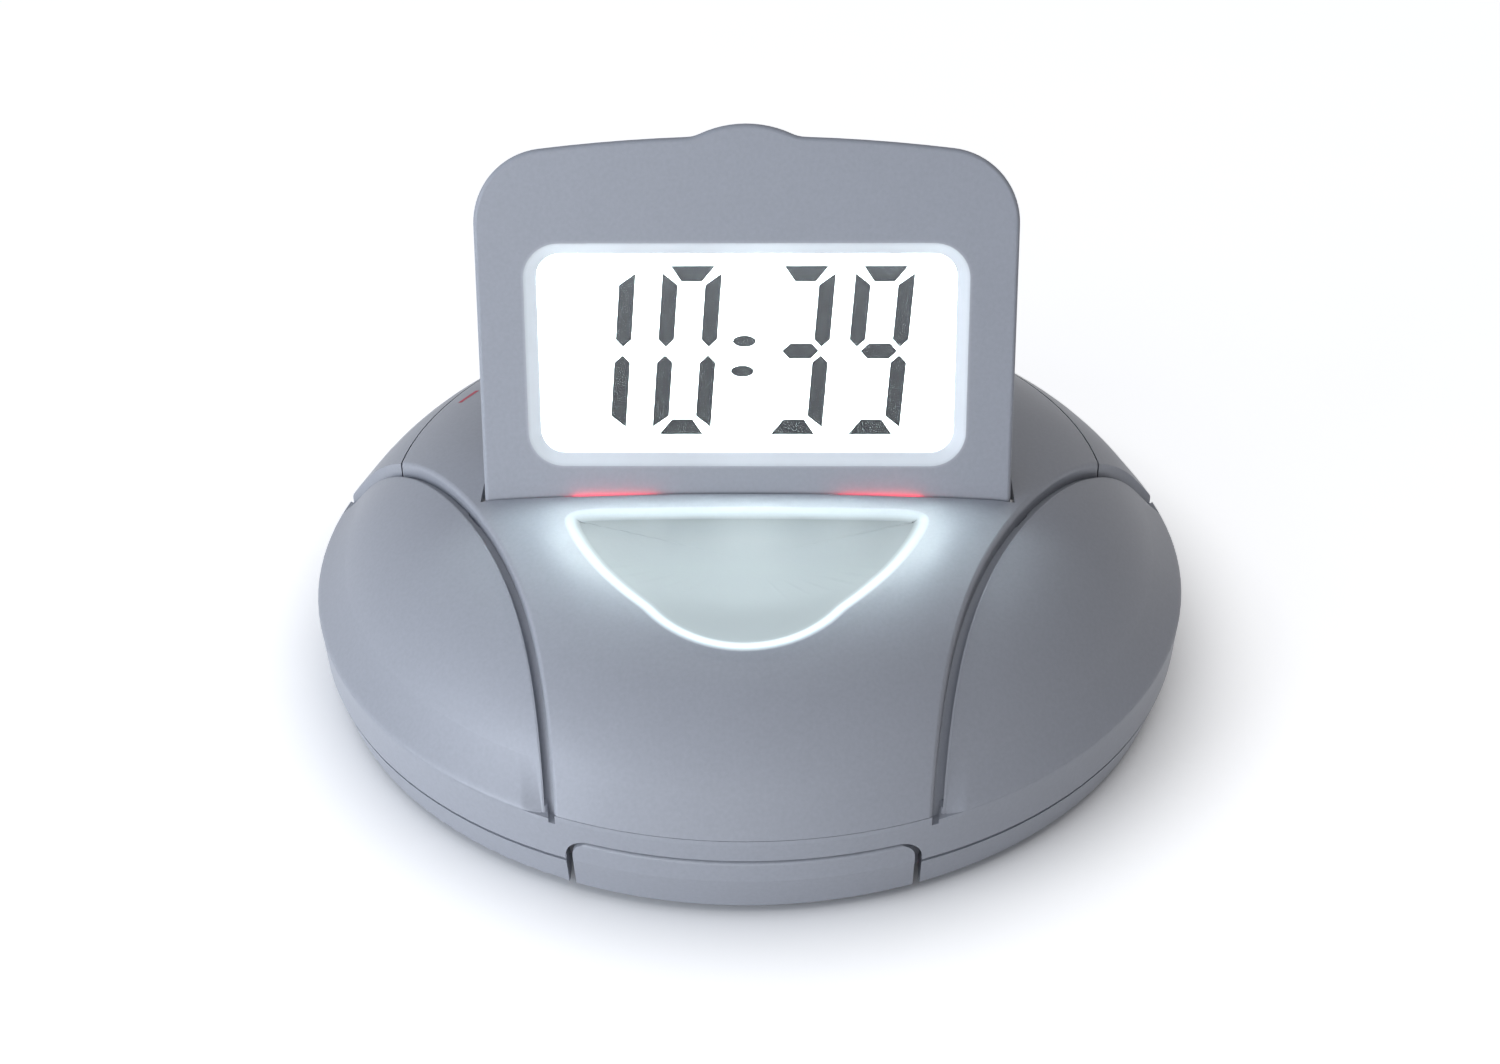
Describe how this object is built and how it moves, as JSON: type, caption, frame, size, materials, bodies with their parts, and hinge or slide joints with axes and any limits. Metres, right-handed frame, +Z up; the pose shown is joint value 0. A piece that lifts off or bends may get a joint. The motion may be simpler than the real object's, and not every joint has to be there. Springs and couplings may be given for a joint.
{
  "type": "bed shaker alarm clock",
  "caption": "Round under-pillow alarm clock with a fold-down display, a wide press bar in the front rim, setting keys at the rear, a battery box and a shaking motor.",
  "frame": {"origin": "on the table, under the middle of the round base", "axes": "+Z up, front with the press bar at -Y, +X to the right of someone facing the front"},
  "size_m": [0.11, 0.11, 0.0699],
  "materials": {
    "silver_plastic": "satin silver paint on moulded plastic",
    "key_plastic": "satin grey",
    "clear_window": "clear, polished",
    "lcd_glass": "lit from behind",
    "white_plastic": "milky",
    "white_lamp": "clear",
    "red_lens": "clear red",
    "black_rubber": "matte",
    "board": "solder mask",
    "steel": "plated",
    "weight_brass": "turned",
    "black_plastic": "matte",
    "cell_jacket": "plain wrapped jacket",
    "capacitor_can": "sleeved"
  },
  "bodies": {
    "base": {"bottom_cover": "silver_plastic", "upper_housing": "silver_plastic", "top_cover": "silver_plastic", "alarm_light_bars": "red_lens", "alarm_leds": "red_lens", "snooze_switch_body": "black_plastic", "snooze_pcb": "board", "set_switch_bodies": "black_plastic", "set_pcb": "board", "set_pcb_screws": "steel", "mode_switch_body": "black_plastic", "mode_switch_screws": "steel", "battery_cells": "cell_jacket", "battery_spring_contacts": "steel", "battery_plate_contacts": "steel", "motor_can": "steel", "motor_end_cap": "black_plastic", "motor_clamp": "steel", "motor_clamp_screws": "steel", "main_pcb": "board", "pcb_screws": "steel", "clock_chip": "black_plastic", "crystal": "steel", "capacitors": "capacitor_can", "buzzer": "black_plastic", "rubber_feet": "black_rubber", "housing_screws": "steel"},
    "display": {"display_bezel": "silver_plastic", "display_back": "silver_plastic", "display_window": "clear_window", "lcd_panel": "lcd_glass", "backlight_diffuser": "white_plastic", "backlight_leds": "white_lamp", "zebra_strip": "black_rubber", "display_pcb": "board", "display_screws": "steel", "hinge_pin_left": "steel", "hinge_pin_right": "steel"},
    "snooze_bar": {"snooze_button": "silver_plastic", "snooze_switch_plunger": "black_plastic"},
    "mode_slider": {"mode_knob": "key_plastic", "mode_switch_lever": "black_plastic"},
    "door": {"battery_door": "silver_plastic"},
    "rotor": {"motor_shaft": "steel", "eccentric_weight": "weight_brass"},
    "alarm_key": {"alarm_button": "key_plastic", "alarm_switch_plunger": "black_plastic"},
    "time_key": {"time_button": "key_plastic", "time_switch_plunger": "black_plastic"},
    "minute_key": {"minute_button": "key_plastic", "minute_switch_plunger": "black_plastic"},
    "hour_key": {"hour_button": "key_plastic", "hour_switch_plunger": "black_plastic"}
  },
  "joints": [
    {"name": "display_fold", "type": "hinge", "parent": "base", "child": "display", "pos_m": [0, -0.0094, 0.02412], "axis": [-1, 0, 0], "range_deg": [0, 73.7]},
    {"name": "snooze_press", "type": "slide", "parent": "base", "child": "snooze_bar", "axis": [0, 1, 0], "range_m": [0, 0.001], "stiffness_N_per_m": 800, "springref_m": -0.0006},
    {"name": "mode_slide", "type": "slide", "parent": "base", "child": "mode_slider", "axis": [-0.4226, -0.9063, 0], "range_m": [-0.003, 0.003]},
    {"name": "door_lift_out", "type": "slide", "parent": "base", "child": "door", "axis": [0, 0, -1], "range_m": [0, 0.02]},
    {"name": "rotor_spin", "type": "hinge", "parent": "base", "child": "rotor", "pos_m": [0, -0.0233, 0.0131], "axis": [1, 0, 0], "continuous": true},
    {"name": "alarm_press", "type": "slide", "parent": "base", "child": "alarm_key", "axis": [0, -0.788, -0.6157], "range_m": [0, 0.0006], "stiffness_N_per_m": 500, "springref_m": -0.0004},
    {"name": "time_press", "type": "slide", "parent": "base", "child": "time_key", "axis": [0, -0.788, -0.6157], "range_m": [0, 0.0006], "stiffness_N_per_m": 500, "springref_m": -0.0004},
    {"name": "minute_press", "type": "slide", "parent": "base", "child": "minute_key", "axis": [0, -0.788, -0.6157], "range_m": [0, 0.0006], "stiffness_N_per_m": 500, "springref_m": -0.0004},
    {"name": "hour_press", "type": "slide", "parent": "base", "child": "hour_key", "axis": [0, -0.788, -0.6157], "range_m": [0, 0.0006], "stiffness_N_per_m": 500, "springref_m": -0.0004}
  ]
}
